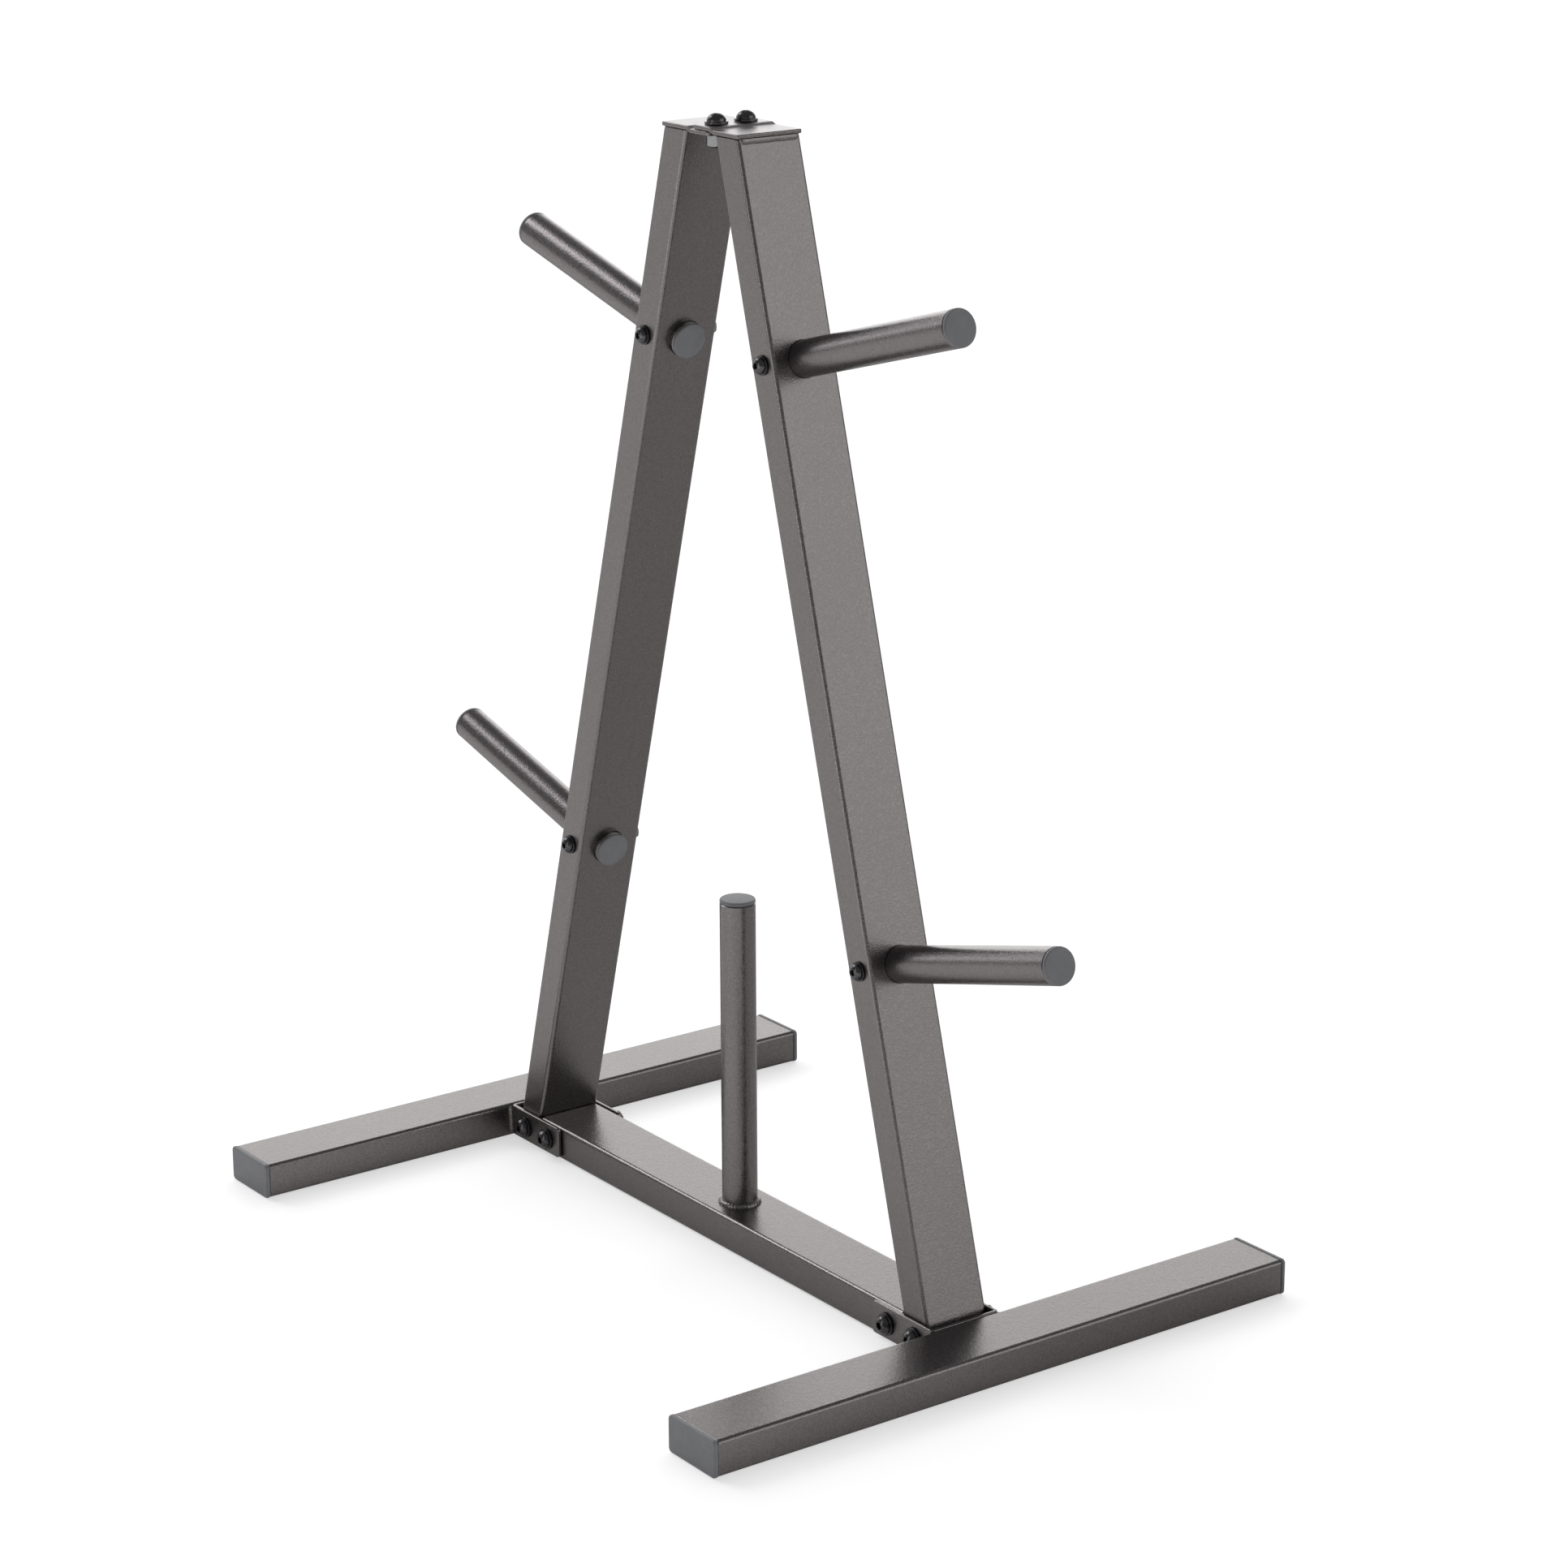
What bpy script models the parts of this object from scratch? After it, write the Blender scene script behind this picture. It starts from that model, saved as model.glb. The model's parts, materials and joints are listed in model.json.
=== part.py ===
"""Weight plate tree: a bolted A-frame of rectangular tube with four angled posts and one upright post.

Metres, +Z up. The origin is on the floor under the middle of the cross tube. +X runs along the cross
tube to the right foot and +Y runs along the feet to the rear.
"""
from math import atan2, cos, pi, sin, sqrt

import bmesh
import bpy
from mathutils import Matrix, Vector

# Fits
GAP = 0.0003                # between pieces that touch
MERGE = 0.00001

# Rectangular tube of the feet, the cross tube and the legs
TUBE_WIDTH = 0.0508
TUBE_HEIGHT = 0.0254
TUBE_WALL = 0.0018
TUBE_CORNER = 0.0028
TUBE_LIFT = 0.0004          # the end caps carry the tubes this far off the floor
TUBE_TOP = TUBE_LIFT + TUBE_HEIGHT

# Feet
FOOT_SPACING = 0.5715       # centre to centre
FOOT_LENGTH = 0.4826        # with both end caps
END_CAP_FLANGE = 0.0032
END_CAP_LIP = TUBE_LIFT     # the flange stands proud of the tube by this on each side
END_CAP_PLUG = 0.014
END_CAP_WALL = 0.0018
END_CAP_EDGE = 0.0012

# Legs
LEG_FOOT_X = 0.250          # outer face at the height of the feet's top
LEG_HEAD_X = 0.042          # outer face at the frame's top
FRAME_TOP = 0.794
LEG_BOTTOM = 0.003
LEG_SLOPE = (LEG_FOOT_X - LEG_HEAD_X) / (FRAME_TOP - TUBE_TOP)
LEG_TILT = atan2(LEG_FOOT_X - LEG_HEAD_X, FRAME_TOP - TUBE_TOP)
LEG_DEPTH_X = TUBE_HEIGHT / cos(LEG_TILT)

# Top plates
PLATE_SHEET = 0.003
PLATE_OVERHANG = 0.0012
PLATE_BEND_X = 0.0150       # where the joggle starts
TONGUE_BEND_X = 0.0112      # where it ends
TONGUE_STEP = PLATE_SHEET / 2 + GAP / 2
UPPER_TONGUE_X = -0.009     # free end of the right plate's tongue
LOWER_TONGUE_X = 0.010      # free end of the left plate's tongue
PLATE_BEND_SOFTENING = 0.0010
TOP_BOLT_PITCH = 0.024
LEG_TOP = FRAME_TOP - PLATE_SHEET - GAP

# U-brackets
BRACKET_SHEET = 0.003
BRACKET_BOTTOM = 0.0024
BRACKET_REACH = 0.0655      # from the foot's inner side to the flanges' free ends
BRACKET_PLAY = 0.0004       # each side, beside the tubes
BRACKET_BEND = 0.0035       # outer radius
BRACKET_CORNER = 0.003      # rounded corners of each flange's free end
FOOT_INNER_X = FOOT_SPACING / 2 - TUBE_WIDTH / 2
BRACKET_OUTER_X = FOOT_INNER_X - GAP
BRACKET_INNER_Y = TUBE_WIDTH / 2 + BRACKET_PLAY
BRACKET_OUTER_Y = BRACKET_INNER_Y + BRACKET_SHEET
BRACKET_BOLT_Z = 0.0135
LEG_BOLT_X = 0.2405
CROSS_BOLT_X = 0.2105
CROSS_END_X = 0.223

# Posts
POST_RADIUS = 0.0127
POST_WALL = 0.0016
POST_REACH = 0.1715         # from the leg's outer face to the outer cap's face
POST_STUB = 0.0033          # inner end, past the leg's inner face
UPPER_POST_Z = 0.6492
LOWER_POST_Z = 0.2575
CENTER_POST_HEIGHT = 0.2286
CAP_FLANGE = 0.003
CAP_EDGE = 0.0013
CAP_PLUG = 0.009
CAP_WALL = 0.0016

# Fasteners: shank radius, head radius and height, socket across flats, washer, nut
M8 = {"shank": 0.0040, "head_r": 0.0068, "head_h": 0.0050, "socket": 0.0050,
      "washer_r": 0.0080, "washer_h": 0.0016, "nut_af": 0.0130, "nut_h": 0.0080}
M6 = {"shank": 0.0030, "head_r": 0.0058, "head_h": 0.0042, "socket": 0.0040,
      "washer_r": 0.0068, "washer_h": 0.0014, "nut_af": 0.0100, "nut_h": 0.0060}
THREAD_END = 0.0013         # bolt past its nut
BOLT_RIM = 0.0006           # edge height of a button head, and chamfer of a shank's end

# Facets
ROUND_STEPS = 24
SMALL_STEPS = 16
CORNER_SEGMENTS = 3
DOME_STEPS = 4

SIDES = {"left": -1, "right": 1}


# ---------------------------------------------------------------- scene and materials

def clear_scene():
    for old in list(bpy.data.objects):
        bpy.data.objects.remove(old, do_unlink=True)


def new_collection(name):
    collection = bpy.data.collections.new(name)
    bpy.context.scene.collection.children.link(collection)
    return collection


def paint(name, color, roughness, metallic):
    material = bpy.data.materials.new(name)
    material.use_nodes = True
    shader = material.node_tree.nodes["Principled BSDF"]
    shader.inputs["Base Color"].default_value = (*color, 1.0)
    shader.inputs["Roughness"].default_value = roughness
    shader.inputs["Metallic"].default_value = metallic
    return material


# ---------------------------------------------------------------- mesh helpers

def mesh_from(bm, name):
    mesh = bpy.data.meshes.new(name)
    bmesh.ops.recalc_face_normals(bm, faces=bm.faces)
    bm.to_mesh(mesh)
    bm.free()
    return mesh


def add_object(name, mesh, collection, material=None, matrix=None):
    obj = bpy.data.objects.new(name, mesh)
    collection.objects.link(obj)
    if material and not mesh.materials:
        mesh.materials.append(material)
    if matrix is not None:
        obj.matrix_world = matrix
    return obj


def smooth(mesh, degrees=30):
    mesh.shade_smooth()
    mesh.set_sharp_from_angle(angle=degrees * pi / 180)


def box_mesh(name, low, high, edge=0.0, segments=CORNER_SEGMENTS, along=None):
    """A box from its low to its high corner; edges along one axis, or all of them, are rounded."""
    bm = bmesh.new()
    bmesh.ops.create_cube(bm, size=1.0)
    size = [b - a for a, b in zip(low, high)]
    middle = [(a + b) / 2 for a, b in zip(low, high)]
    bmesh.ops.scale(bm, vec=size, verts=bm.verts)
    bmesh.ops.translate(bm, vec=middle, verts=bm.verts)
    if edge:
        def runs_along(e):
            step = e.verts[1].co - e.verts[0].co
            return along is None or abs(step[along]) > 0.9 * step.length
        edges = [e for e in bm.edges if runs_along(e)]
        bmesh.ops.bevel(bm, geom=edges, offset=edge, segments=segments, profile=0.5, affect="EDGES")
    return mesh_from(bm, name)


def rod_mesh(name, radius, low, high, steps):
    """A cylinder or prism along Z."""
    bm = bmesh.new()
    place = Matrix.Translation((0, 0, (low + high) / 2))
    bmesh.ops.create_cone(bm, cap_ends=True, segments=steps, radius1=radius, radius2=radius,
                          depth=high - low, matrix=place)
    return mesh_from(bm, name)


def turned_mesh(name, profile, steps, closed):
    """Turns a profile of (radius, height) points about Z; it runs down its outer side."""
    bm = bmesh.new()
    points = [bm.verts.new((r, 0.0, z)) for r, z in profile]
    pairs = list(zip(points, points[1:]))
    if closed:
        pairs.append((points[-1], points[0]))
    for a, b in pairs:
        bm.edges.new((a, b))
    mesh = bpy.data.meshes.new(name + "_profile")
    bm.to_mesh(mesh)
    bm.free()
    obj = add_object(name + "_profile", mesh, CUTTERS)
    screw = obj.modifiers.new("turn", "SCREW")
    screw.axis = "Z"
    screw.steps = steps
    screw.render_steps = steps
    screw.use_merge_vertices = True
    screw.merge_threshold = MERGE
    turned = baked(obj, name)
    smooth(turned)
    return turned


def baked(obj, name):
    """The object's evaluated mesh, with its modifiers applied; the object is removed."""
    bpy.context.view_layer.update()
    seen = obj.evaluated_get(bpy.context.evaluated_depsgraph_get())
    mesh = bpy.data.meshes.new_from_object(seen)
    mesh.name = name
    bpy.data.objects.remove(obj, do_unlink=True)
    return mesh


def cutter(name, mesh, matrix=None):
    obj = add_object(name + "_cutter", mesh, CUTTERS, matrix=matrix)
    obj.hide_render = True
    obj.display_type = "WIRE"
    return obj


def boolean(obj, tool, operation="DIFFERENCE"):
    modifier = obj.modifiers.new(operation.lower(), "BOOLEAN")
    modifier.operation = operation
    modifier.object = tool
    modifier.solver = "EXACT"


def cut_hole(obj, name, radius, matrix, half_length, steps=SMALL_STEPS):
    """Drills a round hole of the given radius along the matrix's Z axis."""
    tool = cutter(name, rod_mesh(name, radius, -half_length, half_length, steps), matrix)
    boolean(obj, tool)


def facing(point, direction):
    """A frame at a point with its Z axis along a direction."""
    turn = Vector((0, 0, 1)).rotation_difference(Vector(direction)).to_matrix().to_4x4()
    return Matrix.Translation(point) @ turn


# ---------------------------------------------------------------- tubes, feet and brackets

def tube_outer(name, low, high, along):
    return box_mesh(name, low, high, TUBE_CORNER, CORNER_SEGMENTS, along)


def tube_bore(name, low, high, along):
    """The hollow of a tube whose outer box runs from low to high, longer at both ends."""
    inner_low = [v + TUBE_WALL for v in low]
    inner_high = [v - TUBE_WALL for v in high]
    inner_low[along] = low[along] - TUBE_HEIGHT
    inner_high[along] = high[along] + TUBE_HEIGHT
    return box_mesh(name, inner_low, inner_high, TUBE_CORNER - TUBE_WALL, 1, along)


def make_foot(side, sign):
    half = FOOT_LENGTH / 2 - END_CAP_FLANGE - GAP
    middle = sign * FOOT_SPACING / 2
    low = (middle - TUBE_WIDTH / 2, -half, TUBE_LIFT)
    high = (middle + TUBE_WIDTH / 2, half, TUBE_TOP)
    name = "foot_tube_" + side
    foot = add_object(name, tube_outer(name, low, high, 1), PARTS, STEEL)
    boolean(foot, cutter(name, tube_bore(name + "_bore", low, high, 1)))


def make_end_cap(side, sign, end, toward):
    """A plastic cap: a flange over the tube's end and a hollow plug inside it."""
    name = "foot_cap_" + side + "_" + end
    half_x = TUBE_WIDTH / 2 + END_CAP_LIP
    height = TUBE_HEIGHT + 2 * END_CAP_LIP
    flange = box_mesh(name, (-half_x, 0, 0), (half_x, END_CAP_FLANGE, height), END_CAP_EDGE, 2)
    plug_x = TUBE_WIDTH / 2 - TUBE_WALL - GAP
    plug_low = TUBE_LIFT + TUBE_WALL + GAP
    plug_high = TUBE_TOP - TUBE_WALL - GAP
    plug = box_mesh(name + "_plug", (-plug_x, -END_CAP_PLUG, plug_low),
                    (plug_x, END_CAP_FLANGE / 2, plug_high), TUBE_CORNER - TUBE_WALL, 1, 1)
    hollow_low = (-plug_x + END_CAP_WALL, -2 * END_CAP_PLUG, plug_low + END_CAP_WALL)
    hollow_high = (plug_x - END_CAP_WALL, -END_CAP_WALL / 2, plug_high - END_CAP_WALL)
    hollow = box_mesh(name + "_hollow", hollow_low, hollow_high)
    place = Matrix.Translation((sign * FOOT_SPACING / 2, toward * (FOOT_LENGTH / 2 - END_CAP_FLANGE), 0))
    if toward < 0:
        place = place @ Matrix.Rotation(pi, 4, "Z")
    cap = add_object(name, flange, PARTS, CAP_PLASTIC, place)
    boolean(cap, cutter(name + "_plug", plug, place), "UNION")
    boolean(cap, cutter(name + "_hollow", hollow, place))


def make_bracket(side, sign):
    """A U of sheet, open on top and towards the middle, drilled for two bolts."""
    name = "foot_bracket_" + side
    inner_x = BRACKET_OUTER_X - BRACKET_SHEET
    free_x = FOOT_INNER_X - BRACKET_REACH

    def block(label, low_x, high_x, half_y, edge, z_low, z_high):
        mesh = box_mesh(label, (low_x, -half_y, z_low), (high_x, half_y, z_high), edge, CORNER_SEGMENTS, 2)
        mesh.transform(Matrix.Scale(sign, 4, (1, 0, 0)))
        if sign < 0:
            mesh.flip_normals()
        return mesh

    mesh = block(name, free_x - 2 * BRACKET_SHEET, BRACKET_OUTER_X, BRACKET_OUTER_Y, BRACKET_BEND,
                 BRACKET_BOTTOM, TUBE_TOP)
    bracket = add_object(name, mesh, PARTS, STEEL)
    bend = BRACKET_BEND - BRACKET_SHEET
    hollow = block(name + "_hollow", free_x - TUBE_WIDTH, inner_x, BRACKET_INNER_Y, bend,
                   -TUBE_TOP, 2 * TUBE_TOP)
    boolean(bracket, cutter(name + "_hollow", hollow))
    # The flanges' free ends: cut square, then both corners rounded
    ends = box_mesh(name + "_ends", (free_x - TUBE_WIDTH, -TUBE_WIDTH, -TUBE_TOP),
                    (free_x, TUBE_WIDTH, 2 * TUBE_TOP))
    ends.transform(Matrix.Scale(sign, 4, (1, 0, 0)))
    if sign < 0:
        ends.flip_normals()
    boolean(bracket, cutter(name + "_ends", ends))
    corner_x = sign * (free_x + BRACKET_CORNER)
    lower = Matrix.Translation((corner_x, 0, BRACKET_BOTTOM + BRACKET_CORNER))
    upper = Matrix.Translation((corner_x, 0, TUBE_TOP - BRACKET_CORNER))
    # The waste lies towards -X and -Z: a quarter turn about Y points it up, half a turn about Z at +X
    for label, place, turn in (("lower", lower, 0), ("upper", upper, pi / 2)):
        if sign < 0:
            place = place @ Matrix.Rotation(pi, 4, "Z")
        corner = corner_mesh(name + "_" + label, BRACKET_CORNER, TUBE_WIDTH)
        boolean(bracket, cutter(name + "_" + label, corner, place @ Matrix.Rotation(turn, 4, "Y")))
    for x in (CROSS_BOLT_X, LEG_BOLT_X):
        cut_hole(bracket, name + "_hole", M8["shank"] + GAP,
                 facing((sign * x, 0, BRACKET_BOLT_Z), (0, 1, 0)), TUBE_WIDTH)


def corner_mesh(name, radius, half_width):
    """The waste outside a rounded lower -X corner: a square with the quarter disc taken out, along Y."""
    bm = bmesh.new()
    reach = radius * 1.5
    angles = [i * pi / 2 / CORNER_SEGMENTS for i in range(CORNER_SEGMENTS + 1)]
    outline = [(-reach, 0.0), (-reach, -reach), (0.0, -reach)]
    outline += [(-radius * sin(a), -radius * cos(a)) for a in angles]
    face = bm.faces.new([bm.verts.new((x, -half_width, z)) for x, z in outline])
    swept = bmesh.ops.extrude_face_region(bm, geom=[face])
    moved = [v for v in swept["geom"] if isinstance(v, bmesh.types.BMVert)]
    bmesh.ops.translate(bm, vec=(0, 2 * half_width, 0), verts=moved)
    return mesh_from(bm, name)


def make_cross_tube():
    low = (-CROSS_END_X, -TUBE_WIDTH / 2, TUBE_LIFT)
    high = (CROSS_END_X, TUBE_WIDTH / 2, TUBE_TOP)
    tube = add_object("cross_tube", tube_outer("cross_tube", low, high, 0), PARTS, STEEL)
    boolean(tube, cutter("cross_tube", tube_bore("cross_tube_bore", low, high, 0)))
    for sign in SIDES.values():
        cut_hole(tube, "cross_tube_hole", M8["shank"] + GAP,
                 facing((sign * CROSS_BOLT_X, 0, BRACKET_BOLT_Z), (0, 1, 0)), TUBE_WIDTH)


# ---------------------------------------------------------------- legs, posts and top plates

def leg_outer_x(z):
    return LEG_FOOT_X - LEG_SLOPE * (z - TUBE_TOP)


def post_place(sign, z):
    """The frame of a post: its origin on the leg's outer face, its Z axis outward along the post."""
    return facing((sign * leg_outer_x(z), 0, z), (sign * cos(LEG_TILT), 0, sin(LEG_TILT)))


def post_bolt_point(sign, z):
    return post_place(sign, z) @ Vector((0, 0, -TUBE_HEIGHT / 2))


def make_leg(side, sign):
    """An upright tube sheared to the leg's slope, so that its ends stay level."""
    name = "leg_" + side
    low = (-LEG_DEPTH_X, -TUBE_WIDTH / 2, LEG_BOTTOM)
    high = (0, TUBE_WIDTH / 2, LEG_TOP)
    lean = Matrix.Identity(4)
    lean[0][2] = -LEG_SLOPE
    lean[0][3] = leg_outer_x(0)
    mirror = Matrix.Scale(sign, 4, (1, 0, 0))
    outer = tube_outer(name, low, high, 2)
    bore = tube_bore(name + "_bore", low, high, 2)
    for mesh in (outer, bore):
        mesh.transform(mirror @ lean)
        if sign < 0:
            mesh.flip_normals()
    leg = add_object(name, outer, PARTS, STEEL)
    boolean(leg, cutter(name + "_bore", bore))
    for z in (UPPER_POST_Z, LOWER_POST_Z):
        cut_hole(leg, name + "_post_hole", POST_RADIUS + GAP, post_place(sign, z), 2 * TUBE_HEIGHT,
                 ROUND_STEPS)
        cut_hole(leg, name + "_pin_hole", M6["shank"] + GAP, facing(post_bolt_point(sign, z), (0, 1, 0)),
                 TUBE_WIDTH)
    cut_hole(leg, name + "_foot_hole", M8["shank"] + GAP,
             facing((sign * LEG_BOLT_X, 0, BRACKET_BOLT_Z), (0, 1, 0)), TUBE_WIDTH)


def tube_profile(low, high):
    inner = POST_RADIUS - POST_WALL
    return [(inner, high), (POST_RADIUS, high), (POST_RADIUS, low), (inner, low)]


def cap_profile():
    """A round cap: the flange's face on top, the hollow plug below its seat at height 0."""
    plug = POST_RADIUS - POST_WALL - GAP
    edge = [(POST_RADIUS - CAP_EDGE * (1 - sin(a)), CAP_FLANGE - CAP_EDGE * (1 - cos(a)))
            for a in (i * pi / 2 / 3 for i in range(4))]
    return [(0, CAP_FLANGE)] + edge + [(POST_RADIUS, 0), (plug, 0), (plug, -CAP_PLUG),
                                       (plug - CAP_WALL, -CAP_PLUG), (plug - CAP_WALL, 0), (0, 0)]


def make_side_post(level, side, sign, z, cap_mesh):
    place = post_place(sign, z)
    label = level + "_" + side
    inner_end = -(TUBE_HEIGHT + POST_STUB)
    outer_end = POST_REACH - CAP_FLANGE - GAP
    name = "post_" + label
    tube = turned_mesh(name, tube_profile(inner_end, outer_end), ROUND_STEPS, closed=True)
    post = add_object(name, tube, PARTS, STEEL, place)
    cut_hole(post, name + "_pin_hole", M6["shank"] + GAP, facing(post_bolt_point(sign, z), (0, 1, 0)),
             TUBE_WIDTH)
    outer = place @ Matrix.Translation((0, 0, outer_end + GAP))
    add_object("post_cap_" + label, cap_mesh, PARTS, CAP_PLASTIC, outer)
    inner = place @ Matrix.Translation((0, 0, inner_end - GAP)) @ Matrix.Rotation(pi, 4, "X")
    add_object("post_inner_cap_" + label, cap_mesh, PARTS, CAP_PLASTIC, inner)


def make_center_post(cap_mesh):
    place = Matrix.Translation((0, 0, TUBE_TOP + GAP))
    length = CENTER_POST_HEIGHT - CAP_FLANGE - 2 * GAP
    tube = turned_mesh("post_center", tube_profile(0, length), ROUND_STEPS, closed=True)
    add_object("post_center", tube, PARTS, STEEL, place)
    top = place @ Matrix.Translation((0, 0, length + GAP))
    add_object("post_cap_center", cap_mesh, PARTS, CAP_PLASTIC, top)


def make_top_plate(side, sign, step, tongue_end):
    """A strip of sheet, joggled by step towards its tongue, drilled for the two top bolts."""
    name = "top_plate_" + side
    top = FRAME_TOP
    outer_x = sign * (leg_outer_x(LEG_TOP) + PLATE_OVERHANG)
    bend_x = sign * PLATE_BEND_X
    tongue_x = sign * TONGUE_BEND_X
    upper = [(outer_x, top), (bend_x, top), (tongue_x, top + step), (tongue_end, top + step)]
    lower = [(x, z - PLATE_SHEET) for x, z in reversed(upper)]
    half_y = TUBE_WIDTH / 2 + PLATE_OVERHANG / 2
    bm = bmesh.new()
    face = bm.faces.new([bm.verts.new((x, -half_y, z)) for x, z in upper + lower])
    swept = bmesh.ops.extrude_face_region(bm, geom=[face])
    moved = [v for v in swept["geom"] if isinstance(v, bmesh.types.BMVert)]
    bmesh.ops.translate(bm, vec=(0, 2 * half_y, 0), verts=moved)
    bends = [e for e in bm.edges if abs(e.verts[0].co.y - e.verts[1].co.y) > half_y
             and min(abs(e.verts[0].co.x - bend_x), abs(e.verts[0].co.x - tongue_x)) < MERGE]
    bmesh.ops.bevel(bm, geom=bends, offset=PLATE_BEND_SOFTENING, segments=2, profile=0.5, affect="EDGES")
    plate = add_object(name, mesh_from(bm, name), PARTS, STEEL)
    for y in (-TOP_BOLT_PITCH / 2, TOP_BOLT_PITCH / 2):
        cut_hole(plate, name + "_hole", M8["shank"] + GAP, Matrix.Translation((0, y, top)), TUBE_HEIGHT)


# ---------------------------------------------------------------- fasteners

def bolt_mesh(name, size, grip):
    """A button-head bolt along Z: seat at height 0, head above, shank below through grip and nut."""
    end = -(grip + size["nut_h"] + THREAD_END)
    shank, head_r, head_h = size["shank"], size["head_r"], size["head_h"]
    sphere = (head_r ** 2 + head_h ** 2) / (2 * head_h)
    dome_radii = [head_r * i / DOME_STEPS for i in range(1, DOME_STEPS)]
    dome = [(r, head_h - sphere + sqrt(sphere ** 2 - r ** 2)) for r in dome_radii]
    profile = [(0, head_h)] + dome + [(head_r, BOLT_RIM), (head_r, 0), (shank, 0),
                                      (shank, end + BOLT_RIM), (shank - BOLT_RIM, end), (0, end)]
    mesh = turned_mesh(name, profile, SMALL_STEPS, closed=False)
    bolt = add_object(name + "_blank", mesh, CUTTERS)
    socket = rod_mesh(name + "_socket", size["socket"] / sqrt(3), head_h * 0.45, head_h * 2, 6)
    tool = cutter(name + "_socket", socket)
    boolean(bolt, tool)
    made = baked(bolt, name)
    bpy.data.objects.remove(tool, do_unlink=True)
    return made


def washer_mesh(name, size):
    inner = size["shank"] + GAP
    outer, height = size["washer_r"], size["washer_h"]
    profile = [(inner, height), (outer, height), (outer, 0), (inner, 0)]
    return turned_mesh(name, profile, SMALL_STEPS, closed=True)


def nut_mesh(name, size):
    """A hex nut along Z, from height 0 down."""
    hexagon = rod_mesh(name, size["nut_af"] / sqrt(3), -size["nut_h"], 0, 6)
    blank = add_object(name + "_blank", hexagon, CUTTERS)
    bore = rod_mesh(name + "_bore", size["shank"] + GAP, -2 * size["nut_h"], size["nut_h"], SMALL_STEPS)
    tool = cutter(name + "_bore", bore)
    boolean(blank, tool)
    made = baked(blank, name)
    bpy.data.objects.remove(tool, do_unlink=True)
    return made


def make_joint(prefix, label, size, meshes, place, grip):
    """A bolt, its washer under the head, and its nut; place's Z axis leaves the clamped stack."""
    bolt, washer, nut = meshes

    def add(piece, mesh, material, height):
        name = prefix + "_" + piece + "_" + label
        add_object(name, mesh, PARTS, material, place @ Matrix.Translation((0, 0, height)))

    add("bolt", bolt, BLACK_OXIDE, size["washer_h"] + 2 * GAP)
    add("washer", washer, BLACK_OXIDE, GAP)
    add("nut", nut, ZINC, -grip - GAP)


def fastener_meshes(prefix, size, grip):
    clamped = grip + size["washer_h"] + 3 * GAP
    return (bolt_mesh(prefix + "_bolt", size, clamped), washer_mesh(prefix + "_washer", size),
            nut_mesh(prefix + "_nut", size))


def make_top_joints():
    head_z = FRAME_TOP + TONGUE_STEP
    grip = 2 * PLATE_SHEET + GAP
    meshes = fastener_meshes("top", M8, grip)
    for label, sign in (("front", -1), ("rear", 1)):
        place = Matrix.Translation((0, sign * TOP_BOLT_PITCH / 2, head_z))
        make_joint("top", label, M8, meshes, place, grip)


def make_post_joints():
    meshes = fastener_meshes("post", M6, TUBE_WIDTH)
    for side, sign in SIDES.items():
        for level, z in (("upper", UPPER_POST_Z), ("lower", LOWER_POST_Z)):
            point = post_bolt_point(sign, z) + Vector((0, -TUBE_WIDTH / 2, 0))
            make_joint("post", level + "_" + side, M6, meshes, facing(point, (0, -1, 0)), TUBE_WIDTH)


def make_bracket_joints():
    grip = 2 * BRACKET_OUTER_Y
    meshes = fastener_meshes("bracket", M8, grip)
    for side, sign in SIDES.items():
        for label, x in (("cross", CROSS_BOLT_X), ("leg", LEG_BOLT_X)):
            place = facing((sign * x, -BRACKET_OUTER_Y, BRACKET_BOLT_Z), (0, -1, 0))
            make_joint("bracket", label + "_" + side, M8, meshes, place, grip)


# ---------------------------------------------------------------- assembly

def build():
    for side, sign in SIDES.items():
        make_foot(side, sign)
        make_end_cap(side, sign, "front", -1)
        make_end_cap(side, sign, "rear", 1)
        make_bracket(side, sign)
        make_leg(side, sign)
    make_cross_tube()
    make_top_plate("left", -1, -TONGUE_STEP, LOWER_TONGUE_X)
    make_top_plate("right", 1, TONGUE_STEP, UPPER_TONGUE_X)
    cap_mesh = turned_mesh("post_cap", cap_profile(), ROUND_STEPS, closed=False)
    for side, sign in SIDES.items():
        make_side_post("upper", side, sign, UPPER_POST_Z, cap_mesh)
        make_side_post("lower", side, sign, LOWER_POST_Z, cap_mesh)
    make_center_post(cap_mesh)
    make_top_joints()
    make_post_joints()
    make_bracket_joints()


clear_scene()
PARTS = new_collection("weight_plate_tree")
CUTTERS = new_collection("cutters")
STEEL = paint("hammertone_steel", (0.17, 0.16, 0.16), 0.42, 0.35)
CAP_PLASTIC = paint("cap_plastic", (0.14, 0.145, 0.15), 0.55, 0.0)
BLACK_OXIDE = paint("black_oxide", (0.03, 0.03, 0.032), 0.35, 0.6)
ZINC = paint("zinc", (0.55, 0.57, 0.58), 0.35, 0.9)
build()
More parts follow.
